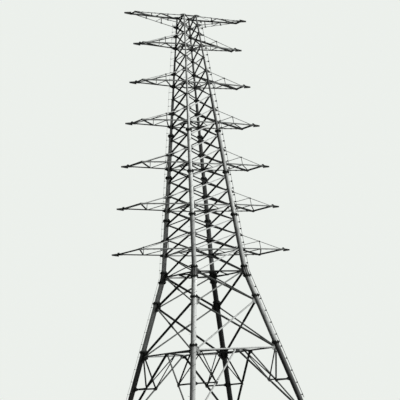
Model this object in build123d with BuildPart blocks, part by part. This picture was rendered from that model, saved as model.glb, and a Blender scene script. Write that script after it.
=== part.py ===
from build123d import *
import math
import os

# Lattice transmission pylon as a 1:2 scale model: every size is half that of the real tower, in mm.
# X runs along the cross-arms, Y across them, Z up. The base plates stand on z = 0.

# Body outline: the corner lines lean in at one slope below the waist and at another above it
waist_height = 10200.0
waist_half = 2000.0
upper_slope = 0.0852
lower_slope = 0.2495

# Levels where the four faces have their nodes
top_level = 28110.0
crown_level = 27430.0
arm_levels_high = [26840.0, 24200.0, 21460.0, 18640.0, 15740.0, 12750.0]
arm_levels_low = [25980.0, 23320.0, 20520.0, 17600.0, 14750.0, 11700.0]
body_levels = [25140.0, 22440.0, 19590.0, 16700.0, 13760.0]
waist_mid_level = 8180.0
belt_level = 4960.0
strut_level = 2800.0
main_foot_level = 560.0

# Leg tubes: distance across the flats of each length, from the base up, and where the lengths join
leg_across = [360.0, 320.0, 300.0, 260.0, 190.0, 140.0, 110.0]
leg_top_rise = 60.0
flange_rise = 320.0
flange_overhang = 85.0
flange_thick = 56.0
flange_sides = 8

# Base plates with their stiffeners and anchor holes
base_across = 900.0
base_thick = 45.0
anchor_circle = 720.0
anchor_hole = 22.0
anchor_count = 4
stiffener_height = 330.0
stiffener_thick = 24.0
stiffener_inset = 25.0

# Lattice bars: width seen on the face and thickness through it
brace_width = 66.0
brace_thick = 60.0
upper_brace_width = 48.0
ring_width = 84.0
belt_width = 110.0
belt_thick = 100.0
main_width = 130.0
main_thick = 110.0
hanger_width = 84.0
hanger_thick = 76.0
diamond_width = 60.0
hip_size = 76.0
gusset_reach = 280.0
gusset_height = 460.0
gusset_thick = 24.0

# Cross-arms: reach of the tip corner, how far the sides pull in, bars and tip plates
arm_reach = [3746.0, 4110.0, 4488.0, 4878.0, 5280.0, 5718.0]
arm_draw_in = 460.0
crown_reach = 4256.0
crown_draw_in = 206.0
arm_mid_share = 0.47
arm_chord = 80.0
arm_brace = 54.0
arm_root_gap = 160.0
tip_plate_length = 520.0
tip_plate_height = 210.0
tip_plate_thick = 40.0
tip_plate_nose = 60.0
tip_hole = 20.0
tip_hole_back = 60.0

# Climbing rails outside two of the legs
rail_clear = 20.0
rail_size = 36.0
rail_bracket = 30.0
rail_bracket_step = 1700.0
rail_foot = 1500.0
rail_top_gap = 300.0

# Distance of the rails' middle from the leg's axis: just clear of the widest flange
rail_distance = leg_across[0] / 2 + flange_overhang + rail_clear + rail_size / 2

# Half the height of a belt bar, measured straight up
belt_edge = belt_width / 2 / math.sqrt(1 + lower_slope ** 2)

# Turns about Z that carry the right-hand leg and the front face to the other three
leg_turns = {"right": 0, "back": 90, "left": 180, "front": 270}
face_turns = {"front": 0, "right": 90, "back": 180, "left": 270}
arm_turns = {"right": 0, "left": 180}


def half_width(z):
    """Half-width of the body on the leg axes at a height."""
    if z >= waist_height:
        return waist_half - upper_slope * (z - waist_height)
    return waist_half + lower_slope * (waist_height - z)


def leg_joints():
    """Heights where one length of leg tube ends and the next begins."""
    low = [waist_height]
    return low + [z + flange_rise for z in (body_levels[4], body_levels[3], body_levels[2])] + [
        body_levels[1], body_levels[0]]


def leg_half(z):
    """Half of the distance across a leg's flats at a height."""
    for across, joint in zip(leg_across, leg_joints()):
        if z < joint:
            return across / 2
    return leg_across[-1] / 2


def leg_axis(z):
    """Point at a height on the axis of the right-hand leg, which stands at +X and -Y."""
    return Vector(half_width(z), -half_width(z), z)


def leg_tube(low, high, across):
    """One straight eight-sided length of leg, cut level at both ends."""
    run = leg_axis(high) - leg_axis(low)
    with BuildSketch(Plane(origin=leg_axis(low))) as section:
        RegularPolygon(across / 2, 8, major_radius=False, rotation=22.5)
    extrude(section.sketch, amount=run.length, dir=run.normalized())


def flange(z, across):
    """Pair of bolted ring flanges around a leg, level, centred on a height."""
    with BuildSketch(Plane(origin=leg_axis(z) - Vector(0, 0, flange_thick / 2))) as ring:
        RegularPolygon(across / 2 + flange_overhang, flange_sides, major_radius=False, rotation=22.5)
    extrude(ring.sketch, amount=flange_thick)


def make_lower_leg():
    """Leg from the base plate to the waist."""
    foot = leg_axis(base_thick)
    with BuildPart() as leg:
        leg_tube(base_thick, waist_height, leg_across[0])
        for z in (waist_height - flange_rise, waist_mid_level + flange_rise, belt_level + flange_rise):
            flange(z, leg_across[0])
        with BuildSketch(Plane(origin=(foot.X, foot.Y, 0))):
            RegularPolygon(base_across / 2, flange_sides, major_radius=False, rotation=22.5)
            with PolarLocations(anchor_circle / 2, anchor_count, start_angle=180 / anchor_count):
                Circle(anchor_hole, mode=Mode.SUBTRACT)
        extrude(amount=base_thick)
        for turn in range(2):
            along = Vector(1, 0, 0).rotate(Axis.Z, 90 * turn)
            with BuildSketch(Plane(origin=foot, x_dir=along, z_dir=along.cross(Vector(0, 0, 1)))):
                reach = base_across / 2 - stiffener_inset
                Polygon((-reach, 0), (reach, 0), (leg_across[0] / 2, stiffener_height),
                        (-leg_across[0] / 2, stiffener_height), align=None)
            extrude(amount=stiffener_thick / 2, both=True)
    return leg.part


def make_upper_leg():
    """Leg from the waist to the crown, thinner at each joint."""
    joints = leg_joints() + [top_level + leg_top_rise]
    with BuildPart() as leg:
        for low, high, across in zip(joints, joints[1:], leg_across[1:]):
            leg_tube(low, high, across)
        flange(waist_height + flange_rise, leg_across[1])
        for joint, across in list(zip(joints[1:], leg_across[1:]))[:3]:
            flange(joint, across)
    return leg.part


def face_plane(slope, back_off=0.0):
    """Plane of the front face, local x along the face and local y up its slope, set back by a distance."""
    return Plane(origin=(0, back_off - waist_half, waist_height), x_dir=(1, 0, 0), z_dir=(0, -1, slope))


def on_face(x, z, slope):
    """Local point of a face from its distance off the middle and its height."""
    return (x, (z - waist_height) * math.sqrt(1 + slope ** 2))


def bar(start, end, width):
    """Flat bar in the current sketch between two points."""
    run = Vector(*end) - Vector(*start)
    middle = (Vector(*start) + Vector(*end)) / 2
    turn = math.degrees(math.atan2(run.Y, run.X))
    with Locations(Location((middle.X, middle.Y, 0), (0, 0, turn))):
        Rectangle(run.length, width)


def face_outline(low, high, slope):
    """Closed outline between the inner flats of two legs, as local points."""
    breaks = [low] + [z for z in leg_joints() if low < z < high] + [high]
    right = []
    for start, end in zip(breaks, breaks[1:]):
        gap = leg_half((start + end) / 2)
        right += [on_face(half_width(start) - gap, start, slope), on_face(half_width(end) - gap, end, slope)]
    left = [(-x, y) for x, y in reversed(right)]
    return right + left


def node_levels():
    """All the node levels of the body from the crown down to the waist."""
    levels = [top_level, crown_level]
    for index in range(6):
        levels += [arm_levels_high[index], arm_levels_low[index]]
        if index < 5:
            levels.append(body_levels[index])
    return levels + [waist_height]


def leg_node(side, z, slope):
    """Where the bars of a face meet on the inner flat of a leg."""
    return on_face(side * (half_width(z) - leg_half(z)), z, slope)


def cross_braces(levels, slope, width):
    """Crossed diagonals in each panel between two levels."""
    for high, low in zip(levels, levels[1:]):
        for side in (-1, 1):
            bar(leg_node(-side, low, slope), leg_node(side, high, slope), width)


def lattice_layer(slope, thick, outline, draw):
    """Bars drawn on the front face, trimmed to an outline and given their thickness through the face."""
    with BuildSketch(face_plane(slope, thick / 2)) as layer:
        draw()
        Polygon(*outline, align=None, mode=Mode.INTERSECT)
    extrude(layer.sketch, amount=thick, dir=(0, -1, 0))


def make_upper_face():
    """Latticework of the front face from the waist belt to the crown."""
    levels = node_levels()
    thin_until = levels.index(body_levels[1])
    outline = face_outline(waist_height + belt_edge, top_level + ring_width / 2, upper_slope)

    with BuildPart() as face:
        with BuildSketch(face_plane(upper_slope, brace_thick / 2)) as layer:
            cross_braces(levels[: thin_until + 1], upper_slope, upper_brace_width)
            cross_braces(levels[thin_until:], upper_slope, brace_width)
            for z in [top_level] + arm_levels_low:
                bar(leg_node(-1, z, upper_slope), leg_node(1, z, upper_slope), ring_width)
            Polygon(*outline, align=None, mode=Mode.INTERSECT)
        extrude(layer.sketch, amount=brace_thick, dir=(0, -1, 0))
    return face.part


def make_waist_face():
    """Latticework of the front face between the two belts, with the belts' bars and the plates at the legs."""
    outline = face_outline(belt_level - belt_edge, waist_height + belt_edge, lower_slope)

    def draw_belts():
        for z in (waist_height, belt_level):
            bar(leg_node(-1, z, lower_slope), leg_node(1, z, lower_slope), belt_width)

    def draw_gussets():
        for z in (waist_height, waist_mid_level, belt_level):
            for side in (-1, 1):
                with Locations(leg_node(side, z, lower_slope)):
                    Rectangle(2 * gusset_reach, gusset_height)

    with BuildPart() as face:
        lattice_layer(lower_slope, main_thick, outline,
                      lambda: cross_braces([waist_height, waist_mid_level, belt_level], lower_slope, main_width))
        lattice_layer(lower_slope, belt_thick, outline, draw_belts)
        lattice_layer(lower_slope, gusset_thick, outline, draw_gussets)
    return face.part


def knee_offset():
    """Distance off the middle of a face where its main diagonal passes the strut level."""
    foot = half_width(main_foot_level) - leg_half(main_foot_level)
    return foot * (belt_level - strut_level) / (belt_level - main_foot_level)


def make_leg_bracing(side):
    """Half of the front face below the belt: main diagonal, strut and hanger, to the left or the right."""
    whole = face_outline(main_foot_level - main_width, belt_level - belt_edge, lower_slope)
    edge = whole[: len(whole) // 2]
    outline = [(side * x, y) for x, y in edge] + [(0, edge[-1][1]), (0, edge[0][1])]
    knee = on_face(side * knee_offset(), strut_level, lower_slope)

    def draw_main():
        bar(on_face(0, belt_level, lower_slope), leg_node(side, main_foot_level, lower_slope), main_width)

    def draw_struts():
        for z in (strut_level, belt_level):
            bar(knee, leg_node(side, z, lower_slope), hanger_width)

    with BuildPart() as bracing:
        lattice_layer(lower_slope, main_thick, outline, draw_main)
        lattice_layer(lower_slope, hanger_thick, outline, draw_struts)
    return bracing.part


def clear_frustum(low, high, slope, wall, margin):
    """Keep what lies inside the four faces, from a margin below the low level to one above the high level."""
    ends = []
    for end in (low - margin, high + margin):
        inner = waist_half - slope * (end - waist_height) - wall / 2
        with BuildSketch(Plane.XY.offset(end)) as square:
            Rectangle(2 * inner, 2 * inner)
        ends.append(square.sketch)
    loft(ends, mode=Mode.INTERSECT)


def diamond_bars(z, slope, width, height, quarters):
    """Level bars that join the middles of neighbouring faces."""
    reach = waist_half - slope * (z - waist_height)
    middles = [(0, -reach), (reach, 0), (0, reach), (-reach, 0)]
    with BuildSketch(Plane.XY.offset(z - height / 2)) as ring:
        for quarter in quarters:
            bar(middles[quarter], middles[(quarter + 1) % 4], width)
    extrude(ring.sketch, amount=height)


def make_diaphragms():
    """Level diamonds inside the body at the foot of each pair of arms."""
    diamonds = []
    for z in arm_levels_low:
        with BuildPart() as diamond:
            diamond_bars(z, upper_slope, diamond_width, diamond_width, range(4))
            clear_frustum(z, z, upper_slope, brace_thick, diamond_width)
        diamonds.append(diamond.part)
    with BuildPart() as diaphragms:
        add(diamonds)
    return diaphragms.part


def make_waist_diaphragm():
    """Level diamond at the waist belt."""
    with BuildPart() as diamond:
        diamond_bars(waist_height, lower_slope, ring_width, ring_width, range(4))
        clear_frustum(waist_height, waist_height, lower_slope, belt_thick, ring_width)
    return diamond.part


def slanted_bar(start, end, size):
    """Square bar between two points in space, two of its sides upright."""
    run = end - start
    level = Vector(0, 0, 1).cross(run).normalized()
    with BuildSketch(Plane(origin=start, x_dir=level, z_dir=run.normalized())) as section:
        Rectangle(size, size)
    extrude(section.sketch, amount=run.length)


def make_belt_tie():
    """Level bar that cuts the right-hand corner of the lower belt, and two hip bars down to the knees."""
    edge = half_width(belt_level)
    knee_plane = half_width(strut_level)
    knee = knee_offset()
    middle = Vector(edge / 2, -edge / 2, belt_level)
    quarter = half_width(0)
    with BuildPart() as tie:
        diamond_bars(belt_level, lower_slope, belt_width, 2 * belt_edge, [0])
        slanted_bar(middle, Vector(knee, -knee_plane, strut_level), hip_size)
        slanted_bar(middle, Vector(knee_plane, -knee, strut_level), hip_size)
        clear_frustum(strut_level, belt_level, lower_slope, main_thick, main_width)
        with BuildSketch(Plane.XY.offset(strut_level - main_width)):
            with Locations((quarter / 2, -quarter / 2)):
                Rectangle(quarter, quarter)
        extrude(amount=belt_level - strut_level + 2 * main_width, mode=Mode.INTERSECT)
    return tie.part


def leg_side_space(low, high):
    """Space from the middle of the body out to the outer flats of the legs, between two heights."""
    breaks = [low] + [z for z in leg_joints() if low < z < high] + [high]
    edge = []
    for start, end in zip(breaks, breaks[1:]):
        flat = leg_half((start + end) / 2)
        edge += [(half_width(start) + flat, start), (half_width(end) + flat, end)]
    with BuildSketch(Plane.XZ) as section:
        Polygon((0, low), *edge, (0, high), align=None)
    extrude(section.sketch, amount=2 * waist_half, both=True, mode=Mode.SUBTRACT)


def make_arm(flat_level, slope_level, reach, draw_in, drilled):
    """Cross-arm on the +X side: a level ladder of bars, a sloping chord over or under each side, a tip plate.

    The plate of a conductor arm is drilled for the shackle of its insulators."""
    root = half_width(flat_level)
    tip = root - draw_in
    middle_x = root + arm_mid_share * (reach - root)
    middle_y = root - arm_mid_share * draw_in
    start_x = root + leg_half(flat_level) + arm_root_gap
    start_y = root - draw_in * (start_x - root) / (reach - root)
    with BuildPart() as arm:
        with BuildSketch(Plane.XY.offset(flat_level - arm_chord / 2)):
            for sign in (-1, 1):
                bar((root, sign * root), (reach, sign * tip), arm_chord)
            bar((reach, -tip - arm_chord / 2), (reach, tip + arm_chord / 2), arm_chord)
            bar((middle_x, -middle_y), (middle_x, middle_y), arm_brace)
            bar((start_x, -start_y), (middle_x, middle_y), arm_brace)
            bar((middle_x, -middle_y), (reach, tip), arm_brace)
        extrude(amount=arm_chord)
        high_root = half_width(slope_level)
        for sign in (-1, 1):
            low_end = Vector(root, sign * root, flat_level)
            far_end = Vector(reach, sign * tip, flat_level)
            high_end = Vector(high_root, sign * high_root, slope_level)
            along = (far_end - low_end).normalized()
            plane = Plane(origin=low_end, x_dir=along, z_dir=along.cross(high_end - low_end).normalized())
            points = [plane.to_local_coords(p) for p in (
                high_end, far_end, low_end + (far_end - low_end) * arm_mid_share,
                high_end + (far_end - high_end) * arm_mid_share)]
            with BuildSketch(plane):
                bar(points[0], points[1], arm_brace)
                bar(points[2], points[3], arm_brace)
            extrude(amount=arm_brace / 2, both=True)
        with BuildSketch(Plane.XZ.offset(tip)):
            Polygon((reach, flat_level - tip_plate_height / 2),
                    (reach + tip_plate_length, flat_level - tip_plate_nose / 2),
                    (reach + tip_plate_length, flat_level + tip_plate_nose / 2),
                    (reach, flat_level + tip_plate_height / 2), align=None)
            if drilled:
                with Locations((reach + tip_plate_length - tip_hole_back, flat_level)):
                    Circle(tip_hole, mode=Mode.SUBTRACT)
        extrude(amount=tip_plate_thick / 2, both=True)
        top_y = high_root + (tip - high_root) * arm_mid_share
        top_x = high_root + (reach - high_root) * arm_mid_share
        top_z = slope_level + (flat_level - slope_level) * arm_mid_share
        with BuildSketch(Plane.XY.offset(top_z - arm_brace / 2)):
            bar((top_x, -top_y), (top_x, top_y), arm_brace)
        extrude(amount=arm_brace)
        low, high = sorted((flat_level, slope_level))
        leg_side_space(low - leg_across[0], high + leg_across[0])
    return arm.part


def make_rail():
    """Climbing rail along the outer corner of the right-hand leg, on brackets."""
    out = Vector(1, -1, 0).normalized()
    plane = Plane(origin=(0, 0, 0), x_dir=out, z_dir=out.cross(Vector(0, 0, 1)))
    top = top_level - rail_top_gap

    def leg_line(z, distance):
        return (math.sqrt(2) * half_width(z) + distance, z)

    levels = node_levels() + [waist_mid_level, belt_level, strut_level, rail_foot]
    with BuildPart() as rail:
        with BuildSketch(plane):
            for low, high in ((rail_foot, waist_height), (waist_height, top)):
                bar(leg_line(low, rail_distance), leg_line(high, rail_distance), rail_size)
            with Locations(leg_line(waist_height, rail_distance)):
                Circle(rail_size / 2)
            for high, low in list(zip(levels, levels[1:]))[::2]:
                count = max(1, int((high - low) / rail_bracket_step))
                for index in range(count):
                    z = low + (high - low) * (index + 0.5) / count
                    flat = leg_line(z, leg_half(z))
                    lean = (half_width(z - rail_bracket / 2) - half_width(z + rail_bracket / 2)) * math.sqrt(2) / 2
                    far = leg_line(z, rail_distance)[0]
                    Polygon((flat[0] + lean, z - rail_bracket / 2), (far, z - rail_bracket / 2),
                            (far, z + rail_bracket / 2), (flat[0] - lean, z + rail_bracket / 2), align=None)
        extrude(amount=rail_size / 2, both=True)
    return rail.part


def write_copies(part, name, turns):
    """Write a piece once for each named turn about Z."""
    for place, turn in turns.items():
        with BuildPart() as copy:
            add(part, rotation=(0, 0, turn))
        copy.part.label = f"{name}_{place}"
        export_step(copy.part, f"parts/{copy.part.label}.step")


os.makedirs("parts", exist_ok=True)

write_copies(make_lower_leg(), "lower_leg", leg_turns)
write_copies(make_upper_leg(), "upper_leg", leg_turns)
write_copies(make_belt_tie(), "belt_tie", leg_turns)
write_copies(make_upper_face(), "upper_face", face_turns)
write_copies(make_waist_face(), "waist_face", face_turns)
write_copies(make_leg_bracing(-1), "leg_bracing_a", face_turns)
write_copies(make_leg_bracing(1), "leg_bracing_b", face_turns)
write_copies(make_arm(top_level, crown_level, crown_reach, crown_draw_in, False), "crown_arm", arm_turns)
for number, (low, high, reach) in enumerate(zip(arm_levels_low, arm_levels_high, arm_reach), start=1):
    write_copies(make_arm(low, high, reach, arm_draw_in, True), f"arm_{number}", arm_turns)
write_copies(make_rail(), "climbing_rail", arm_turns)

for diaphragm, label in ((make_diaphragms(), "arm_diaphragms"), (make_waist_diaphragm(), "waist_diaphragm")):
    diaphragm.label = label
    export_step(diaphragm, f"parts/{label}.step")
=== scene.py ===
import math

import bmesh
import bpy
from mathutils import Matrix, Vector


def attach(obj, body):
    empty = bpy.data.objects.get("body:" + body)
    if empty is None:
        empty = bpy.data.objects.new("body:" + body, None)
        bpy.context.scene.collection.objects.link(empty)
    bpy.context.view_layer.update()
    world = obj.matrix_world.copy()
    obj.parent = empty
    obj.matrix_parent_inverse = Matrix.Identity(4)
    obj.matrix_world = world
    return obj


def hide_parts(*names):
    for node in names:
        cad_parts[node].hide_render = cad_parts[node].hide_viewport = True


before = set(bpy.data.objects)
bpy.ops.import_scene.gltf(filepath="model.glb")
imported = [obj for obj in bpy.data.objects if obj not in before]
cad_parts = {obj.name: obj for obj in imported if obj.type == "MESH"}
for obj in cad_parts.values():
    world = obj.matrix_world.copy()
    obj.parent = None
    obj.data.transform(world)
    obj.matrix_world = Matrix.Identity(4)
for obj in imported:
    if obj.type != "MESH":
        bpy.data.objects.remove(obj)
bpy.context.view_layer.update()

# Sizes of the CAD part, in metres. First the levels: BODY, LOW and HIGH list those of the arms from the top arm
# down, as REACH does with their lengths, and LEG_RADIUS and JOINTS go from the foot up.
BASE_TOP = 0.045
FOOT = 0.56
STRUT = 2.8
BELT = 4.96
MID = 8.18
WAIST = 10.2
BODY = [25.14, 22.44, 19.59, 16.7, 13.76]
LOW = [25.98, 23.32, 20.52, 17.6, 14.75, 11.7]
HIGH = [26.84, 24.2, 21.46, 18.64, 15.74, 12.75]
CROWN = 27.43
TOP = 28.11
LEG_END = TOP + 0.06
WAIST_HALF = 2.0
UPPER_SLOPE = 0.0852
LOWER_SLOPE = 0.2495
FLANGE_RISE = 0.32
LEG_RADIUS = [0.18, 0.16, 0.15, 0.13, 0.095, 0.07, 0.055]
JOINTS = [WAIST, BODY[4] + FLANGE_RISE, BODY[3] + FLANGE_RISE, BODY[2] + FLANGE_RISE, BODY[1], BODY[0]]
RAIL_DISTANCE = 0.303
RAIL_FOOT = 1.5
REACH = [3.746, 4.11, 4.488, 4.878, 5.28, 5.718]
ARM_DRAW_IN = 0.46
CROWN_REACH = 4.256
CROWN_DRAW_IN = 0.206

# Each piece is made at the front or on the right and turned about Z, in degrees
LEG_TURNS = {"right": 0, "back": 90, "left": 180, "front": 270}
FACE_TURNS = {"front": 0, "right": 90, "back": 180, "left": 270}
ARM_TURNS = {"right": 0, "left": 180}

X_DIR, Y_DIR, UP = Vector((1, 0, 0)), Vector((0, 1, 0)), Vector((0, 0, 1))
SHARP_ANGLE = math.radians(32)

# Shares of a leg's radius at which what stands on it starts: ribs and brackets, pegs, gussets and arms
RIB_ROOT = 0.97
PEG_ROOT = 0.95
PLATE_ROOT = 0.9


def half(z):
    if z >= WAIST:
        return WAIST_HALF - UPPER_SLOPE * (z - WAIST)
    return WAIST_HALF + LOWER_SLOPE * (WAIST - z)


def leg_radius(z):
    for radius, joint in zip(LEG_RADIUS, JOINTS):
        if z < joint:
            return radius
    return LEG_RADIUS[-1]


def radius_below(z):
    return leg_radius(z - 0.01)


def leg_point(z):
    return Vector((half(z), -half(z), z))


def face_point(x, z):
    return Vector((x, -half(z), z))


def face_normal(z):
    slope = UPPER_SLOPE if z >= WAIST else LOWER_SLOPE
    return Vector((0, -1, slope)).normalized()


def node(side, z):
    """Point of a face at the inner side of a leg, where its bars meet."""
    return face_point(side * (half(z) - leg_radius(z)), z)


def crossing_share(low, high):
    """Where the two bars of a panel cross, as a share of a bar from its low end."""
    wide_low, wide_high = half(low) - leg_radius(low), half(high) - leg_radius(high)
    return wide_low / (wide_low + wide_high)


def knee_offset():
    """Distance from a face's middle to the knee, where strut and hanger meet the main diagonal."""
    return (half(FOOT) - leg_radius(FOOT)) * (BELT - STRUT) / (BELT - FOOT)


def all_levels():
    """Node levels of the upper body from the top down to the waist."""
    levels = [TOP, CROWN]
    for index in range(len(LOW)):
        levels += [HIGH[index], LOW[index]]
        if index < len(BODY):
            levels.append(BODY[index])
    return levels + [WAIST]


def compass(turn):
    """Level direction at an angle from the X axis."""
    return Vector((math.cos(turn), math.sin(turn), 0))


def square(half_side):
    return [(-half_side, -half_side), (half_side, -half_side), (half_side, half_side), (-half_side, half_side)]


class Piece:
    """Collects the plates, tubes, bars and bolts of one piece."""

    def __init__(self):
        self.bm = bmesh.new()
        self.material = 0

    def face(self, loop):
        made = self.bm.faces.new(loop)
        made.material_index = self.material

    def prism(self, low, high):
        below = [self.bm.verts.new(p) for p in low]
        above = [self.bm.verts.new(p) for p in high]
        count = len(below)
        for i in range(count):
            j = (i + 1) % count
            self.face((below[i], below[j], above[j], above[i]))
        self.face(below[::-1])
        self.face(above)

    def plate(self, points, normal, thick):
        off = normal.normalized() * thick / 2
        self.prism([p - off for p in points], [p + off for p in points])

    def patch(self, centre, across, along, corners, normal, thick):
        """Plate whose corners are given as steps across and along from a centre."""
        self.plate([centre + across * u + along * v for u, v in corners], normal, thick)

    def ring(self, centre, x_dir, y_dir, radius, count):
        turns = [math.tau * i / count for i in range(count)]
        return [centre + x_dir * radius * math.cos(t) + y_dir * radius * math.sin(t) for t in turns]

    def tube(self, start, end, radius, count=14):
        run = (end - start).normalized()
        across = run.orthogonal().normalized()
        other = run.cross(across)
        self.prism(*[self.ring(p, across, other, radius, count) for p in (start, end)])

    def level_tube(self, start, end, radius, count=40):
        """Tube that leans, with level ends."""
        self.prism(*[self.ring(p, X_DIR, Y_DIR, radius, count) for p in (start, end)])

    def disc(self, centre, inner, outer, thick, count=40):
        """Flat ring with a small bevel at its rim."""
        bevel = thick * 0.2
        profile = ((inner, -thick / 2), (outer - bevel, -thick / 2), (outer, bevel - thick / 2),
                   (outer, thick / 2 - bevel), (outer - bevel, thick / 2), (inner, thick / 2))
        rows = []
        for radius, height in profile:
            rim = self.ring(centre + UP * height, X_DIR, Y_DIR, radius, count)
            rows.append([self.bm.verts.new(p) for p in rim])
        for low, high in zip(rows, rows[1:] + rows[:1]):
            for i in range(count):
                j = (i + 1) % count
                self.face((low[i], low[j], high[j], high[i]))

    def disc_cap(self, centre, axis, radius):
        """Thin round cap, a little wider than the tube that it closes."""
        across = axis.orthogonal().normalized()
        other = axis.cross(across)
        self.prism(*[self.ring(centre + axis * s, across, other, radius * 1.12, 18) for s in (-0.012, 0.012)])

    def bolt(self, centre, axis, size, grip):
        """Hexagon head and nut on the two sides of a grip, with the end of the shank."""
        axis = axis.normalized()
        across = axis.orthogonal().normalized()
        other = axis.cross(across)
        depth, shank = size * 0.75, size * 0.55
        for sign in (-1, 1):
            base = centre + axis * sign * grip / 2
            tip = base + axis * sign * depth
            ends = (base, tip) if sign > 0 else (tip, base)
            self.prism(*[self.ring(p, across, other, size, 6) for p in ends])
        ends = (-grip / 2, grip / 2 + depth * 1.8)
        self.prism(*[self.ring(centre + axis * s, across, other, shank, 6) for s in ends])

    def section(self, start, end, shape, side, out):
        """Straight bar with a section given as points across and out."""
        self.prism(*[[p + side * u + out * v for u, v in shape] for p in (start, end)])

    def angle(self, start, end, width, out, flip=1, thick=0.008):
        """Steel angle whose flat leg lies across the plane that out stands on."""
        run = (end - start).normalized()
        side = run.cross(out).normalized() * flip
        out = side.cross(run).normalized() * flip
        edge = width / 2
        shape = [(-edge, 0), (edge, 0), (edge, thick), (thick - edge, thick),
                 (thick - edge, width), (-edge, width)]
        self.section(start, end, shape if flip > 0 else shape[::-1], side, out)

    def pipe_brace(self, start, end, radius, normal, gap, tongue):
        """Tube brace that stops a gap short of each end, where a slotted plate is bolted to the gusset."""
        run = (end - start).normalized()
        side = run.cross(normal).normalized()
        near, far = start + run * gap, end - run * gap
        self.tube(near, far, radius, 18)
        wide = radius * 0.95
        narrow = wide * 0.85
        for point, way in ((near, -1), (far, 1)):
            inner = point - run * way * radius * 3
            outer = point + run * way * tongue
            corners = [inner + side * wide, inner - side * wide, outer - side * narrow, outer + side * narrow]
            self.plate(corners if way > 0 else corners[::-1], normal, 0.02)
            self.disc_cap(point, run, radius)
            for share in (0.3, 0.75):
                self.bolt(point + run * way * tongue * share, normal, size=0.016, grip=0.05)

    def emit(self, name, turn, materials, slot, stands_for):
        """Make the object, turned about Z, and let it ride on the frame."""
        mesh = bpy.data.meshes.new(name)
        bmesh.ops.recalc_face_normals(self.bm, faces=self.bm.faces)
        for made in self.bm.faces:
            made.smooth = True
        self.bm.to_mesh(mesh)
        mesh.transform(Matrix.Rotation(math.radians(turn), 4, "Z"))
        mesh.set_sharp_from_angle(angle=SHARP_ANGLE)
        for material in materials:
            mesh.materials.append(material)
        made = bpy.data.objects.new(name, mesh)
        bpy.context.scene.collection.objects.link(made)
        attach(made, "root")
        if stands_for:
            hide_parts(*stands_for)


# Materials

def add_node(tree, kind, **values):
    """New shader node with its inputs set, where an underscore in a name stands for a space."""
    made = tree.nodes.new("ShaderNode" + kind)
    for name, value in values.items():
        made.inputs[name.replace("_", " ")].default_value = value
    return made


def add_operation(tree, kind, operation):
    made = tree.nodes.new("ShaderNode" + kind)
    made.operation = operation
    return made


def add_colour_mix(tree, **colours):
    """Colour mix node with the colours of its inputs A and B set."""
    made = tree.nodes.new("ShaderNodeMix")
    made.data_type = "RGBA"
    for name, colour in colours.items():
        made.inputs[name].default_value = (*colour, 1.0)
    return made


def scaled(colour, share):
    return [c * share for c in colour]


def steel(name, colour, worn, roughness, metallic, gloss=0.5, streak=0.5, painted_shade_side=None, painted_shade_tone=1.0):
    """Galvanised steel: dull zinc patches, spangle grain, rain streaks down the part and a fine uneven skin.

    The side that faces the given side direction gets painted shade: it is darker, down to the given share of
    the colour."""
    material = bpy.data.materials.new(name)
    material.use_nodes = True
    tree = material.node_tree
    links = tree.links
    shader = tree.nodes["Principled BSDF"]
    shader.inputs["Metallic"].default_value = metallic
    shader.inputs["Specular IOR Level"].default_value = gloss
    place = add_node(tree, "TexCoord")

    patches = add_node(tree, "TexNoise", Scale=2.6, Detail=6.0, Roughness=0.62)
    links.new(place.outputs["Object"], patches.inputs["Vector"])
    spread = add_node(tree, "MapRange", From_Min=0.36, From_Max=0.66)
    links.new(patches.outputs["Fac"], spread.inputs["Value"])

    stretch = add_node(tree, "Mapping", Scale=(16.0, 16.0, 0.9))
    links.new(place.outputs["Object"], stretch.inputs["Vector"])
    streaks = add_node(tree, "TexNoise", Scale=1.0, Detail=4.0)
    links.new(stretch.outputs["Vector"], streaks.inputs["Vector"])
    streak_range = add_node(tree, "MapRange", From_Min=0.45, From_Max=0.75, To_Max=streak)
    links.new(streaks.outputs["Fac"], streak_range.inputs["Value"])

    grain = add_node(tree, "TexVoronoi", Scale=70.0)
    links.new(place.outputs["Object"], grain.inputs["Vector"])
    grain_range = add_node(tree, "MapRange", To_Min=0.84, To_Max=1.12)
    links.new(grain.outputs["Color"], grain_range.inputs["Value"])
    tone = grain_range.outputs["Result"]

    base = add_colour_mix(tree, A=colour, B=worn)
    links.new(spread.outputs["Result"], base.inputs["Factor"])
    streaked = add_colour_mix(tree, B=scaled(worn, 0.45))
    links.new(base.outputs["Result"], streaked.inputs["A"])
    links.new(streak_range.outputs["Result"], streaked.inputs["Factor"])
    # Painted shade: the side of the part whose normal faces the given side direction is darkened
    if painted_shade_side is not None:
        facing = add_operation(tree, "VectorMath", "DOT_PRODUCT")
        facing.inputs[1].default_value = painted_shade_side
        links.new(place.outputs["Normal"], facing.inputs[0])
        shaded = add_node(tree, "MapRange", From_Min=-0.7, From_Max=0.7, To_Min=1.0, To_Max=painted_shade_tone)
        links.new(facing.outputs["Value"], shaded.inputs["Value"])
        both = add_operation(tree, "Math", "MULTIPLY")
        links.new(tone, both.inputs[0])
        links.new(shaded.outputs["Result"], both.inputs[1])
        tone = both.outputs["Value"]
    toned = add_operation(tree, "VectorMath", "SCALE")
    links.new(streaked.outputs["Result"], toned.inputs[0])
    links.new(tone, toned.inputs["Scale"])
    links.new(toned.outputs["Vector"], shader.inputs["Base Color"])

    dull = add_node(tree, "MapRange", To_Min=roughness - 0.1, To_Max=roughness + 0.14)
    links.new(patches.outputs["Fac"], dull.inputs["Value"])
    links.new(dull.outputs["Result"], shader.inputs["Roughness"])

    skin = add_node(tree, "TexNoise", Scale=45.0, Detail=5.0)
    links.new(place.outputs["Object"], skin.inputs["Vector"])
    bump = add_node(tree, "Bump", Strength=0.25, Distance=0.004)
    links.new(skin.outputs["Fac"], bump.inputs["Height"])
    links.new(bump.outputs["Normal"], shader.inputs["Normal"])
    return material


def dark_steel(name):
    return steel(name, (0.008, 0.009, 0.008), (0.004, 0.005, 0.004), 0.6, 0.05, 0.1, streak=0.3)


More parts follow.
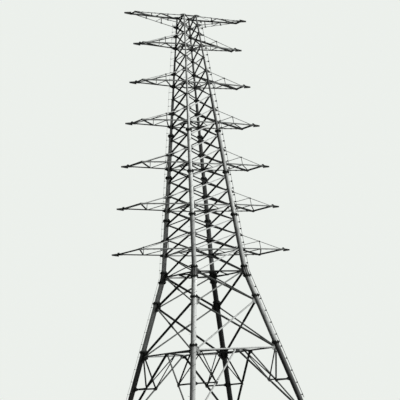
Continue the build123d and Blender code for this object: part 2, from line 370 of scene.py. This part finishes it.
fitting_steel = steel("fitting_steel", (0.014, 0.016, 0.014), (0.007, 0.008, 0.007), 0.6, 0.1, 0.12)
# The brace steels are one galvanised steel in lit and shaded copies: the light and grey ones carry painted
# light, the mid and dark ones painted shade
brace_steel = dark_steel("brace_dark")
brace_mid = steel("brace_mid", (0.04, 0.043, 0.04), (0.02, 0.022, 0.02), 0.6, 0.1, 0.15, streak=0.3)
brace_grey = steel("brace_grey", (0.20, 0.21, 0.20), (0.12, 0.126, 0.12), 0.6, 0.1, 0.2, streak=0.3)
brace_light = steel("brace_light", (0.40, 0.41, 0.40), (0.28, 0.29, 0.28), 0.55, 0.2, 0.3, streak=0.2)
# The arm steels are one galvanised steel in lit and shaded copies: the light and grey ones carry painted light,
# the dark one painted shade
arm_steel = dark_steel("arm_steel")
arm_grey = steel("arm_grey", (0.15, 0.156, 0.15), (0.085, 0.09, 0.085), 0.6, 0.1, 0.2, streak=0.3)
arm_light = steel("arm_light", (0.42, 0.43, 0.42), (0.28, 0.29, 0.28), 0.6, 0.1, 0.2, streak=0.3)
rail_steel = steel("rail_steel", (0.30, 0.31, 0.30), (0.24, 0.245, 0.24), 0.55, 0.05, 0.15, streak=0.1)

# Places of the steels in a piece's list of materials
DARK, LIGHT, GREY, DULL = range(4)
FACE_STEELS = [brace_steel, brace_light, brace_grey, brace_mid]
ARM_STEELS = [arm_steel, arm_light, arm_grey]

# Tones of painted light and shade on the legs, from the most lit to the darkest shade, and the tone of each of
# a leg's nine lengths from the base plate up. Lengths in light are painted lighter and those in shade darker;
# worn is a mid painted shade
PAINTED_LIGHT_TONES = {"bright": 0.76, "lit": 0.62, "worn": 0.42, "dull": 0.2, "shaded": 0.08, "black": 0.04}
LEG_PAINTED_LIGHT = {"front": ["worn", "lit", "bright", "worn", "bright", "bright", "bright", "worn", "worn"],
                "right": ["shaded", "worn", "worn", "worn", "lit", "worn", "dull", "dull", "dull"],
                "left": ["shaded", "lit", "bright", "lit", "bright", "lit", "worn", "dull", "dull"],
                "back": ["black", "black", "black", "dull", "dull", "dull", "dull", "dull", "dull"]}
# Painted shade on each leg's waist sleeve, darkest on the back leg
SLEEVE_PAINTED_LIGHT = {"front": "dull", "right": "dull", "left": "dull", "back": "black"}

# Side of each leg that gets painted shade, towards the left (-1) or the right (1) leg's corner, and share of
# its tone left there
DIAGONAL = Vector((1, -1, 0)).normalized()
PAINTED_SHADE_SIDES = {"front": (-1, 0.5), "right": (-1, 0.36), "left": (1, 0.15), "back": (1, 0.4)}


def leg_steel(label, leg, finish):
    """Steel of a leg in one of the tones of painted light and shade, with painted shade on one side."""
    tone = PAINTED_LIGHT_TONES[finish]
    way, painted_shade_tone = PAINTED_SHADE_SIDES[leg]
    return steel(f"{label}_{leg}_{finish}", (tone, tone * 1.03, tone), (tone * 0.68, tone * 0.7, tone * 0.68),
                 0.55, 0.05, 0.12, painted_shade_side=DIAGONAL * way, painted_shade_tone=painted_shade_tone)


# Legs

FLANGE_BOLTS = 16
FLANGE_RIBS = 8
SLEEVE_RIBS = 12


def flange_pair(piece, z, radius):
    """Two bolted ring flanges with ribs above and below."""
    width, bolt_circle, rib_width, offset, thick = 0.092, 0.054, 0.07, 0.024, 0.042
    rib_foot, rib_rise = 0.044, 0.14
    centre = leg_point(z)
    for sign in (-1, 1):
        piece.disc(centre + UP * sign * offset, radius * PLATE_ROOT, radius + width, thick)
    for i in range(FLANGE_BOLTS):
        way = compass(math.tau * i / FLANGE_BOLTS)
        piece.bolt(centre + way * (radius + bolt_circle), UP, size=0.017, grip=0.1)
    for i in range(FLANGE_RIBS):
        way = compass(math.tau * (i + 0.5) / FLANGE_RIBS)
        for sign in (-1, 1):
            foot = centre + UP * sign * rib_foot
            rim = foot + way * (radius + rib_width)
            lean = leg_point(z + sign * rib_rise) - leg_point(z)
            top = centre + lean + way * radius * RIB_ROOT
            loop = [foot + way * radius * RIB_ROOT, rim, rim + UP * sign * 0.015, top + way * 0.012, top]
            piece.plate(loop, way.cross(UP), 0.010)


def waist_sleeve(piece):
    """Ribbed sleeve over the kink of the leg."""
    for i in range(SLEEVE_RIBS):
        way = compass(math.tau * (i + 0.5) / SLEEVE_RIBS)
        low, high = leg_point(WAIST - 0.29) + way * 0.175, leg_point(WAIST + 0.29) + way * 0.155
        knee = leg_point(WAIST) + way * 0.17
        out = way * 0.055
        piece.plate([low, low + out, knee + out, high + out, high, knee], way.cross(UP), 0.012)
    piece.level_tube(leg_point(WAIST - 0.3), leg_point(WAIST), 0.192)
    piece.level_tube(leg_point(WAIST), leg_point(WAIST + 0.3), 0.186)


def base_plate(piece):
    """Eight-sided base plate with its anchor bolts and stiffeners."""
    plate_reach, bevel_from, anchor_reach, nut = 0.45, 0.037, 0.36, 0.036
    foot = leg_point(BASE_TOP)
    ground = Vector((foot.x, foot.y, 0))
    corner_turns = [math.radians(22.5 + 45 * i) for i in range(8)]
    corners = [ground + compass(t) * plate_reach / math.cos(corner_turns[0]) for t in corner_turns]
    inset = [ground + (p - ground) * 0.985 for p in corners]
    bevel = [p + UP * bevel_from for p in corners]
    piece.prism(corners, bevel)
    piece.prism(bevel, [p + UP * BASE_TOP for p in inset])
    for i in range(4):
        spot = ground + compass(math.radians(45 + 90 * i)) * anchor_reach
        piece.disc(spot + UP * 0.051, 0.018, 0.048, 0.012, 24)
        piece.bolt(spot + UP * BASE_TOP, UP, size=nut, grip=0.024)
        piece.tube(spot + UP * 0.04, spot + UP * 0.15, 0.018, 16)
        piece.prism(*[piece.ring(spot + UP * rise, X_DIR, Y_DIR, nut, 6) for rise in (0.09, 0.115)])
    lean = leg_point(0.375) - foot
    for i in range(4):
        along = compass(math.radians(90 * i))
        loop = [foot + along * 0.14, foot + along * 0.425, foot + along * 0.425 + UP * 0.03,
                foot + lean + along * 0.18, foot + lean + along * 0.14]
        piece.plate(loop, along.cross(UP), 0.024)


def make_leg(name, turn):
    tube = Piece()
    painted_tones = LEG_PAINTED_LIGHT[name]
    used = list(dict.fromkeys(painted_tones))
    lows = [BASE_TOP, BELT + FLANGE_RISE, MID + FLANGE_RISE] + JOINTS
    # Each length of the leg gets its own tone of painted light and shade
    for low, high, finish in zip(lows, lows[1:] + [LEG_END], painted_tones):
        tube.material = used.index(finish)
        tube.level_tube(leg_point(low), leg_point(high), leg_radius(low), 48)
    steels = [leg_steel("leg", name, finish) for finish in used]
    tube.emit(f"leg_tube_{name}", turn, steels, "leg_steel", [f"lower_leg_{name}", f"upper_leg_{name}"])

    fittings = Piece()
    for z in (WAIST - FLANGE_RISE, MID + FLANGE_RISE, BELT + FLANGE_RISE, WAIST + FLANGE_RISE, *JOINTS[1:4]):
        flange_pair(fittings, z, radius_below(z))
    for z in JOINTS[4:]:
        fittings.disc(leg_point(z), radius_below(z) * 0.8, radius_below(z) + 0.022, 0.05)
    fittings.material = 1
    waist_sleeve(fittings)
    fittings.material = 0
    fittings.disc(leg_point(LEG_END), 0.001, 0.085, 0.02, 24)
    base_plate(fittings)
    steels = [fitting_steel, leg_steel("sleeve", name, SLEEVE_PAINTED_LIGHT[name])]
    fittings.emit(f"leg_fittings_{name}", turn, steels, "leg_steel", [])


for leg_name, leg_turn in LEG_TURNS.items():
    make_leg(leg_name, leg_turn)


# Faces of the body

# Upper body: the side where a face's lighter bars start low, their steel, and the steel of its level bars. The
# lighter bars carry painted light and the dark ones painted shade.
UPPER_BARS = {"front": (-1, LIGHT, GREY), "right": (-1, DARK, GREY),
              "back": (1, DULL, GREY), "left": (1, GREY, LIGHT)}

# Lower body: the side where a face's lighter tubes start low, steel and radius of its dark main tubes, steel of
# its lighter ones, radius of the struts and hangers, steel of the level tube at the waist and at the belt. The
# lighter tubes carry painted light and the dark ones painted shade.
LOWER_BARS = {
    "front": dict(light_side=-1, dark=DULL, radius=0.066, light=LIGHT, strut=0.045, waist=DARK, belt=LIGHT),
    "right": dict(light_side=-1, dark=DARK, radius=0.080, light=GREY, strut=0.056, waist=DARK, belt=DARK),
    "back": dict(light_side=1, dark=DARK, radius=0.076, light=GREY, strut=0.056, waist=LIGHT, belt=LIGHT),
    "left": dict(light_side=1, dark=DARK, radius=0.080, light=GREY, strut=0.054, waist=DARK, belt=DULL)}
LIGHT_RADIUS = 0.054
UPPER_LIGHT_RADIUS = 0.048
THIN_ABOVE = BODY[1]


def gusset(piece, side, z, reach, rise, thick=0.014, bolts=2):
    """Plate on a leg in the plane of the face, with its bolts."""
    normal = face_normal(z)
    edge = half(z) - leg_radius(z) * PLATE_ROOT
    points = []
    for step, on_leg in ((rise, True), (rise * 0.45, False), (-rise * 0.45, False), (-rise, True)):
        level = z + step
        x = half(level) - leg_radius(level) * PLATE_ROOT if on_leg else edge - reach
        points.append(face_point(side * x, level))
    piece.plate(points, normal, thick)
    for i in range(bolts):
        spot = face_point(side * (edge - reach * (0.45 + 0.4 * i)), z)
        piece.bolt(spot, normal, size=0.013, grip=thick + 0.02)


def make_upper_face(face):
    piece = Piece()
    light_side, light, level_steel = UPPER_BARS[face]
    levels = all_levels()
    for high, low in zip(levels, levels[1:]):
        width = 0.072 if low >= THIN_ABOVE else 0.09
        for side in (-1, 1):
            run = (node(side, high) - node(-side, low)).normalized()
            normal = face_normal(high) * side
            inset = run * 0.05
            a, b = node(-side, low) + inset + normal * 0.008, node(side, high) - inset + normal * 0.008
            # Painted light on the bars that start low on the light side, painted shade on the others
            piece.material = DARK
            if -side == light_side:
                piece.material = light if high <= THIN_ABOVE else DULL
            piece.angle(a, b, width * (1.0 if piece.material == DARK else 0.85), normal)
            for end, way in ((a, 1), (b, -1)):
                for step in (0.05, 0.12):
                    piece.bolt(end + run * way * step, normal, size=0.012, grip=0.045)
        piece.material = DARK
        crossing = node(-1, low) + (node(1, high) - node(-1, low)) * crossing_share(low, high)
        piece.bolt(crossing, face_normal(high), size=0.013, grip=0.06)
        piece.disc_cap(crossing, face_normal(high), 0.03)
    inset = X_DIR * 0.03
    for z in [TOP] + LOW:
        piece.material = DULL if z == TOP else level_steel
        piece.angle(node(-1, z) + inset, node(1, z) - inset, 0.072, -face_normal(z), thick=0.01)
    piece.material = DARK
    for z in levels[:-1]:
        reach, rise = (0.10, 0.10) if z > THIN_ABOVE else (0.14, 0.13)
        grown = 1.0 if z in BODY + [TOP] else 1.35
        for side in (-1, 1):
            gusset(piece, side, z, reach * grown, rise * grown)
    return piece


def make_waist_face(face):
    """Two panels of crossed tubes, with the level tubes of the waist and the belt."""
    piece = Piece()
    bars = LOWER_BARS[face]
    normal = face_normal(BELT)
    for high, low in ((WAIST, MID), (MID, BELT)):
        for side in (-1, 1):
            a, b = node(-side, low), node(side, high)
            # Painted light on the tubes that start low on the light side, painted shade on the dark main tubes
            if -side != bars["light_side"]:
                piece.material, radius = bars["dark"], bars["radius"]
            elif high == WAIST:
                piece.material, radius = GREY, UPPER_LIGHT_RADIUS
            else:
                piece.material, radius = bars["light"], LIGHT_RADIUS
            if side > 0:
                piece.pipe_brace(a, b, radius, normal, gap=0.3, tongue=0.16)
                continue
            crossing = a + (b - a) * crossing_share(low, high)
            piece.pipe_brace(a, crossing, radius, normal, gap=0.3, tongue=0.16)
            piece.pipe_brace(crossing, b, radius, normal, gap=0.3, tongue=0.16)
            run = (b - a).normalized()
            corners = ((0.42, 0.07), (-0.42, 0.07), (-0.42, -0.07), (0.42, -0.07))
            piece.patch(crossing, run, run.cross(normal), corners, normal, 0.024)
    for z, level_steel in ((WAIST, bars["waist"]), (BELT, bars["belt"])):
        piece.material = level_steel
        piece.pipe_brace(node(-1, z), node(1, z), 0.052, normal, gap=0.26, tongue=0.14)
    for z, reach, rise in ((WAIST, 0.3, 0.26), (MID, 0.27, 0.29), (BELT, 0.32, 0.34)):
        # Gussets below the waist are painted grey as light on a face whose lighter tubes are LIGHT, and dark as
        # shade elsewhere
        piece.material = GREY if bars["light"] == LIGHT and z != WAIST else DARK
        for side in (-1, 1):
            gusset(piece, side, z, reach, rise, thick=0.02, bolts=0)
    return piece


def make_lower_bracing(face):
    """Main diagonals from the middle of the belt to the feet, with a strut and a hanger on each."""
    piece = Piece()
    bars = LOWER_BARS[face]
    normal = face_normal(BELT)
    middle = face_point(0, BELT)
    for side in (-1, 1):
        foot = node(side, FOOT)
        knee = face_point(side * knee_offset(), STRUT)
        light = side == bars["light_side"]
        # Painted light on the tube on the light side, painted shade on the dark main tube
        piece.material, radius = (bars["light"], LIGHT_RADIUS) if light else (bars["dark"], bars["radius"])
        piece.pipe_brace(middle, knee, radius, normal, gap=0.26, tongue=0.16)
        piece.pipe_brace(knee, foot, radius, normal, gap=0.26, tongue=0.16)
        piece.material = DARK
        for z in (STRUT, BELT):
            piece.pipe_brace(knee, node(side, z), bars["strut"], normal, gap=0.2, tongue=0.12)
        run = (foot - middle).normalized()
        corners = ((0.22, 0.05), (0, 0.14), (-0.22, 0.05), (-0.22, -0.05), (0, -0.14), (0.22, -0.05))
        piece.patch(knee, run, run.cross(normal), corners, normal, 0.018)
        gusset(piece, side, STRUT, 0.2, 0.15, thick=0.016, bolts=1)
        gusset(piece, side, FOOT, 0.24, 0.24, thick=0.018, bolts=1)
    drop = face_point(0, BELT - 0.22) - middle
    piece.patch(middle, X_DIR, drop, ((-0.3, 0), (0.3, 0), (0.2, 1), (-0.2, 1)), normal, 0.018)
    return piece


def make_belt_tie():
    """Level tie across the front right corner of the belt, held from the knees of its two faces."""
    piece = Piece()
    a, b = Vector((0, -half(BELT), BELT)), Vector((half(BELT), 0, BELT))
    middle = (a + b) / 2
    piece.pipe_brace(a, b, 0.05, UP, gap=0.22, tongue=0.12)
    for knee in (Vector((knee_offset(), -half(STRUT), STRUT)), Vector((half(STRUT), -knee_offset(), STRUT))):
        piece.pipe_brace(middle, knee, 0.036, (knee - middle).cross(b - a), gap=0.16, tongue=0.1)
    corners = ((-0.22, -0.08), (-0.08, -0.22), (0.22, 0.08), (0.08, 0.22))
    piece.patch(middle, X_DIR, Y_DIR, corners, UP, 0.016)
    return piece


for maker, label, node_names in ((make_upper_face, "upper_lattice", ["upper_face"]),
                                 (make_waist_face, "waist_lattice", ["waist_face"]),
                                 (make_lower_bracing, "lower_bracing", ["leg_bracing_a", "leg_bracing_b"])):
    for face_name, face_turn in FACE_TURNS.items():
        stands_for = [f"{node_name}_{face_name}" for node_name in node_names]
        maker(face_name).emit(f"{label}_{face_name}", face_turn, FACE_STEELS, "brace_steel", stands_for)
for leg_name, leg_turn in LEG_TURNS.items():
    make_belt_tie().emit(f"corner_tie_{leg_name}", leg_turn, [brace_steel], "brace_steel",
                         [f"belt_tie_{leg_name}"])


# Level diamonds

def diamond(piece, z, width):
    """Four level angles that join the middles of the faces, with a plate at each corner."""
    reach = half(z) - 0.04
    corners = [Vector((0, -reach, z)), Vector((reach, 0, z)), Vector((0, reach, z)), Vector((-reach, 0, z))]
    for a, b in zip(corners, corners[1:] + corners[:1]):
        piece.angle(a, b, width, -UP)
    for corner in corners:
        piece.patch(corner, X_DIR, Y_DIR, square(0.07), UP, 0.01)


arm_diamonds = Piece()
for level in LOW:
    diamond(arm_diamonds, level, 0.052)
arm_diamonds.emit("arm_level_diamonds", 0, [brace_steel], "brace_steel", ["arm_diaphragms"])
waist_diamond = Piece()
diamond(waist_diamond, WAIST, 0.08)
waist_diamond.emit("waist_level_diamond", 0, [brace_steel], "brace_steel", ["waist_diaphragm"])


# Cross-arms

# Chords of an arm, first on its side at -y and then at +y before the turn: steel and width of the flat chord,
# steel and width of the sloping chord. Lighter chords carry painted light where they face the light, dark ones
# painted shade
ARM_SIDES = {"right": ((GREY, 0.072, GREY, 0.042), (GREY, 0.078, DARK, 0.105)),
             "left": ((DARK, 0.08, DARK, 0.055), (GREY, 0.08, LIGHT, 0.05))}
CROWN_SIDES = {"right": ((LIGHT, 0.045, GREY, 0.04), (DARK, 0.11, LIGHT, 0.04)),
               "left": ((DARK, 0.11, GREY, 0.048), (LIGHT, 0.045, LIGHT, 0.04))}
# Root bar: lighter with painted light on the right arm, dark with painted shade on the left
ROOT_BARS = {"right": (LIGHT, 0.045), "left": (DARK, 0.06)}


def tip_plate(piece, x, y, z, drilled):
    """Pointed plate at the end of an arm's side, with a cleat and the shackle's hole where it is drilled."""
    low, nose, length, hole_at, hole, thick = 0.105, 0.046, 0.52, 0.44, 0.02, 0.05
    root = Vector((x, y, z))
    if not drilled:
        piece.patch(root, X_DIR, UP, ((0, -low), (length, -nose), (length, nose), (0, low)), Y_DIR, thick)
        return
    cleat = ((-0.08, -0.06), (0.14, -0.06), (0.04, 0.06), (-0.06, 0.06))
    piece.patch(root + UP * low, X_DIR, UP, cleat, Y_DIR, thick)
    turns = [math.pi * i / 10 for i in range(11)]
    for sign in (1, -1):
        outline = [(length, 0), (length, sign * nose), (0, sign * low), (0, 0)]
        arc = [(hole_at + hole * math.cos(t), sign * hole * math.sin(t)) for t in turns]
        piece.patch(root, X_DIR, UP, outline + arc[::-1], Y_DIR, thick)


def make_arm(flat, slope, reach, draw_in, drilled, sides, root_bar):
    """An arm with its flat side at one level and the roots of its sloping chords at another."""
    piece = Piece()
    way = 1 if slope > flat else -1
    upright = UP * way
    ladder = 0.47
    root, high_root = half(flat), half(slope)
    tip = root - draw_in
    start = leg_radius(flat) * PLATE_ROOT / (reach - root)
    high_start = leg_radius(slope) * PLATE_ROOT / (reach - high_root)

    def flat_point(part, sign):
        return Vector((root + part * (reach - root), sign * (root - part * draw_in), flat))

    def slope_point(part, sign):
        return Vector((high_root + part * (reach - high_root), sign * (high_root + part * (tip - high_root)),
                       slope + part * (flat - slope)))

    def add_side(sign, flat_steel, flat_width, slope_steel, slope_width):
        side = Y_DIR * sign
        run = (flat_point(1, sign) - flat_point(0, sign)).normalized()
        piece.material = flat_steel
        piece.angle(flat_point(start, sign), flat_point(1, sign), flat_width, upright, sign, thick=0.011)
        piece.material = slope_steel
        piece.angle(slope_point(high_start, sign), slope_point(1, sign), slope_width, side, sign * way)
        piece.material = DARK
        knot = ((-0.06, -0.045), (0.06, -0.045), (0.06, 0.045), (-0.06, 0.045))
        for part in (ladder,) if drilled else (0.34, 0.67):
            piece.angle(flat_point(part, sign), slope_point(part, sign), 0.045, side)
            piece.patch(slope_point(part, sign), run, UP, knot, side, 0.02)
        if flat_steel != DARK:
            batten = ((-0.07, -0.012), (0.07, -0.012), (0.07, flat_width), (-0.07, flat_width))
            for part in (0.2, 0.33, 0.6, 0.73, 0.85):
                piece.patch(flat_point(part, sign) + side * 0.006, run, upright, batten, side, 0.014)
        flat_tall = 0.14 if way > 0 else 0.1
        for place, part, tall in ((flat_point, start, flat_tall), (slope_point, high_start, 0.12)):
            spot = place(part, sign)
            along = (place(1, sign) - spot).normalized()
            root_plate = ((0, tall), (0, -tall), (0.26, -0.05), (0.26, 0.05))
            piece.patch(spot, along, UP, root_plate, along.cross(UP), 0.014)
        for part in (0.06, 0.1, 0.86, 0.91):
            piece.bolt(flat_point(part, sign), side, size=0.013, grip=0.1)
        return run

    runs = {sign: add_side(sign, *chords) for sign, chords in zip((-1, 1), sides)}
    tip_plate(piece, reach, -tip, flat, drilled)
    overhang = Y_DIR * 0.04
    piece.angle(flat_point(1, -1) - overhang, flat_point(1, 1) + overhang, 0.1, upright, thick=0.012)
    corner_plate = ((-0.32, -0.02), (0.045, -0.03), (0.045, 0.1), (-0.32, 0.085))
    for sign, run in runs.items():
        side = Y_DIR * sign
        piece.patch(flat_point(1, sign) + side * 0.016, run, upright, corner_plate, side, 0.014)
    piece.angle(flat_point(ladder, -1), flat_point(1, 1), 0.075, upright)
    near = start + 0.16 / (reach - root)
    piece.material, root_width = root_bar
    piece.angle(flat_point(near, -1), flat_point(ladder, 1), root_width, upright)
    # Painted light on the cross bars at the ladder
    piece.material = GREY
    piece.angle(flat_point(ladder, -1), flat_point(ladder, 1), 0.05, upright)
    piece.material = LIGHT
    piece.angle(slope_point(ladder, -1), slope_point(ladder, 1), 0.032, upright)
    piece.material = DARK
    for part, outer, inner in ((ladder, 0.11, 0.06), (1.0, 0.04, 0.04)):
        corners = ((-0.18, 0.03), (outer, 0.03), (inner, -0.17), (-0.1, -0.15))
        for sign in (-1, 1):
            piece.patch(flat_point(part, sign) + upright * 0.006, X_DIR, Y_DIR * sign, corners, UP, 0.014)
    return piece


for arm_name, arm_turn in ARM_TURNS.items():
    bar = ROOT_BARS[arm_name]
    crown_arm = make_arm(TOP, CROWN, CROWN_REACH, CROWN_DRAW_IN, False, CROWN_SIDES[arm_name], bar)
    crown_arm.emit(f"crown_arm_lattice_{arm_name}", arm_turn, ARM_STEELS, "arm_steel",
                   [f"crown_arm_{arm_name}"])
    for index, (flat_level, slope_level, arm_reach) in enumerate(zip(LOW, HIGH, REACH)):
        label = f"{index + 1}_{arm_name}"
        arm = make_arm(flat_level, slope_level, arm_reach, ARM_DRAW_IN, True, ARM_SIDES[arm_name], bar)
        arm.emit(f"arm_lattice_{label}", arm_turn, ARM_STEELS, "arm_steel", [f"arm_{label}"])


# Climbing rails and step pegs

# Half the width of a rail below the waist and of its clamps
RAILS = {"right": (0.02, 0.042), "left": (0.009, 0.018)}


def make_rail(half_width, clamp):
    """Rail outside the right leg, with its brackets and clamps."""
    piece = Piece()
    across = DIAGONAL.cross(UP)

    def spot(z, distance):
        return leg_point(z) + DIAGONAL * distance

    for low, high, half_side in ((RAIL_FOOT, WAIST, half_width), (WAIST, TOP - 0.3, half_width * 0.6)):
        piece.section(spot(low, RAIL_DISTANCE), spot(high, RAIL_DISTANCE), square(half_side), across, DIAGONAL)
    z = RAIL_FOOT + 0.2
    while z < TOP - 0.4:
        piece.material = 0
        bracket_ends = (spot(z, leg_radius(z) * RIB_ROOT), spot(z, RAIL_DISTANCE - 0.01))
        piece.section(*bracket_ends, square(0.009), across, UP)
        piece.material = 1
        clamp_ends = (spot(z, RAIL_DISTANCE - clamp * 2), spot(z, RAIL_DISTANCE + 0.018))
        piece.section(*clamp_ends, square(clamp), across, UP)
        piece.bolt(spot(z, RAIL_DISTANCE), across, size=0.014, grip=0.06)
        z += 0.82 if z < WAIST else 0.47
    return piece


for rail_name, rail_turn in ARM_TURNS.items():
    rail = make_rail(*RAILS[rail_name])
    rail.emit(f"ladder_rail_{rail_name}", rail_turn, [rail_steel, fitting_steel], "rail_steel",
              [f"climbing_rail_{rail_name}"])


def make_pegs():
    """Step pegs up a leg, to one side and the other in turn."""
    piece = Piece()
    first, spacing, length = 1.6, 0.4, 0.15
    z = first
    way, next_way = X_DIR, -Y_DIR
    while z < TOP - 0.4:
        centre, radius = leg_point(z), leg_radius(z)
        head = centre + way * (radius + length)
        piece.tube(centre + way * radius * PEG_ROOT, head, 0.011, 10)
        piece.tube(head - way * 0.008, head + way * 0.004, 0.019, 10)
        z += spacing
        way, next_way = next_way, way
    return piece


make_pegs().emit("step_pegs_front", LEG_TURNS["front"], [rail_steel], "rail_steel", [])


# Floor, world, lamps and camera

FLOOR_COLOUR = (0.80, 0.82, 0.79)
FLOOR_BOUNCE = 0.2
BACKDROP_COLOUR = (0.840, 0.872, 0.836, 1.0)
SKY_COLOUR = (0.97, 1.0, 0.97, 1.0)
SKY_BRIGHT_SIDE = Vector((0.7, -0.6, 0.5)).normalized()
SUN_FROM = Vector((0.62, -0.79, 0.5))
SUN_ENERGY = 3.9
SUN_ANGLE = math.radians(16)


def floor_material():
    """Pale floor that keeps the shadow and throws little of its light back up."""
    material = bpy.data.materials.new("pale_floor")
    material.use_nodes = True
    tree = material.node_tree
    links = tree.links
    shader = tree.nodes["Principled BSDF"]
    shader.inputs["Roughness"].default_value = 0.9
    shader.inputs["Specular IOR Level"].default_value = 0.1
    place = add_node(tree, "TexCoord")
    noise = add_node(tree, "TexNoise", Scale=0.2)
    links.new(place.outputs["Object"], noise.inputs["Vector"])
    mix = add_colour_mix(tree, A=FLOOR_COLOUR, B=scaled(FLOOR_COLOUR, 0.97))
    links.new(noise.outputs["Fac"], mix.inputs["Factor"])
    rays = add_node(tree, "LightPath")
    dim = add_colour_mix(tree, B=scaled(FLOOR_COLOUR, FLOOR_BOUNCE))
    links.new(mix.outputs["Result"], dim.inputs["A"])
    links.new(rays.outputs["Is Diffuse Ray"], dim.inputs["Factor"])
    links.new(dim.outputs["Result"], shader.inputs["Base Color"])
    return material


floor_mesh = bpy.data.meshes.new("floor")
floor_bm = bmesh.new()
bmesh.ops.create_circle(floor_bm, cap_ends=True, radius=400.0, segments=96)
floor_bm.to_mesh(floor_mesh)
floor = bpy.data.objects.new("floor", floor_mesh)
bpy.context.scene.collection.objects.link(floor)
floor.location.z = -0.002
floor_mesh.materials.append(floor_material())

world = bpy.data.worlds.new("studio")
bpy.context.scene.world = world
world.use_nodes = True
sky = world.node_tree
sky.nodes.clear()
sky_rays = add_node(sky, "LightPath")
seen = add_operation(sky, "Math", "MAXIMUM")
sky.links.new(sky_rays.outputs["Is Camera Ray"], seen.inputs[0])
sky.links.new(sky_rays.outputs["Is Glossy Ray"], seen.inputs[1])
backdrop = add_node(sky, "Background", Color=BACKDROP_COLOUR, Strength=1.0)
sky_place = add_node(sky, "TexCoord")
towards = add_operation(sky, "VectorMath", "DOT_PRODUCT")
towards.inputs[1].default_value = SKY_BRIGHT_SIDE
sky.links.new(sky_place.outputs["Generated"], towards.inputs[0])
dome = add_node(sky, "MapRange", From_Min=-0.1, From_Max=1.0, To_Min=0.02, To_Max=0.5)
sky.links.new(towards.outputs["Value"], dome.inputs["Value"])
soft = add_node(sky, "Background", Color=SKY_COLOUR)
sky.links.new(dome.outputs["Result"], soft.inputs["Strength"])
blend = add_node(sky, "MixShader")
for index, source in enumerate((seen, soft, backdrop)):
    sky.links.new(source.outputs[0], blend.inputs[index])
output = add_node(sky, "OutputWorld")
sky.links.new(blend.outputs[0], output.inputs["Surface"])

sun = bpy.data.lights.new("soft_sun", "SUN")
sun.energy = SUN_ENERGY
sun.angle = SUN_ANGLE
sun_object = bpy.data.objects.new("soft_sun", sun)
bpy.context.scene.collection.objects.link(sun_object)
sun_object.rotation_mode = "QUATERNION"
sun_object.rotation_quaternion = SUN_FROM.to_track_quat("Z", "Y")

# The camera, fitted to the photograph: focal length in pixels of its 400, place and three angles
FOCAL_PIXELS, FRAME_PIXELS, SENSOR_WIDTH = 1575.92, 400, 36.0
AZIMUTH, DISTANCE, HEIGHT = math.radians(-32.479), 106.333, 0.4
YAW, TILT, ROLL = AZIMUTH + math.radians(-0.0415), math.radians(7.972), math.radians(-3.888)
camera = bpy.data.cameras.new("camera")
camera.sensor_width = SENSOR_WIDTH
camera.lens = FOCAL_PIXELS / FRAME_PIXELS * SENSOR_WIDTH
camera.clip_start, camera.clip_end = 1.0, 2000.0
camera_object = bpy.data.objects.new("camera", camera)
bpy.context.scene.collection.objects.link(camera_object)
forward = Vector((-math.sin(YAW) * math.cos(TILT), math.cos(YAW) * math.cos(TILT), math.sin(TILT)))
level_right = compass(YAW)
level_up = level_right.cross(forward)
right = level_right * math.cos(ROLL) + level_up * math.sin(ROLL)
upward = level_up * math.cos(ROLL) - level_right * math.sin(ROLL)
turned = Matrix((right, upward, -forward)).transposed().to_4x4()
camera_place = Vector((math.sin(AZIMUTH) * DISTANCE, -math.cos(AZIMUTH) * DISTANCE, HEIGHT))
camera_object.matrix_world = Matrix.Translation(camera_place) @ turned
bpy.context.scene.camera = camera_object

bpy.context.scene.view_settings.view_transform = "Standard"
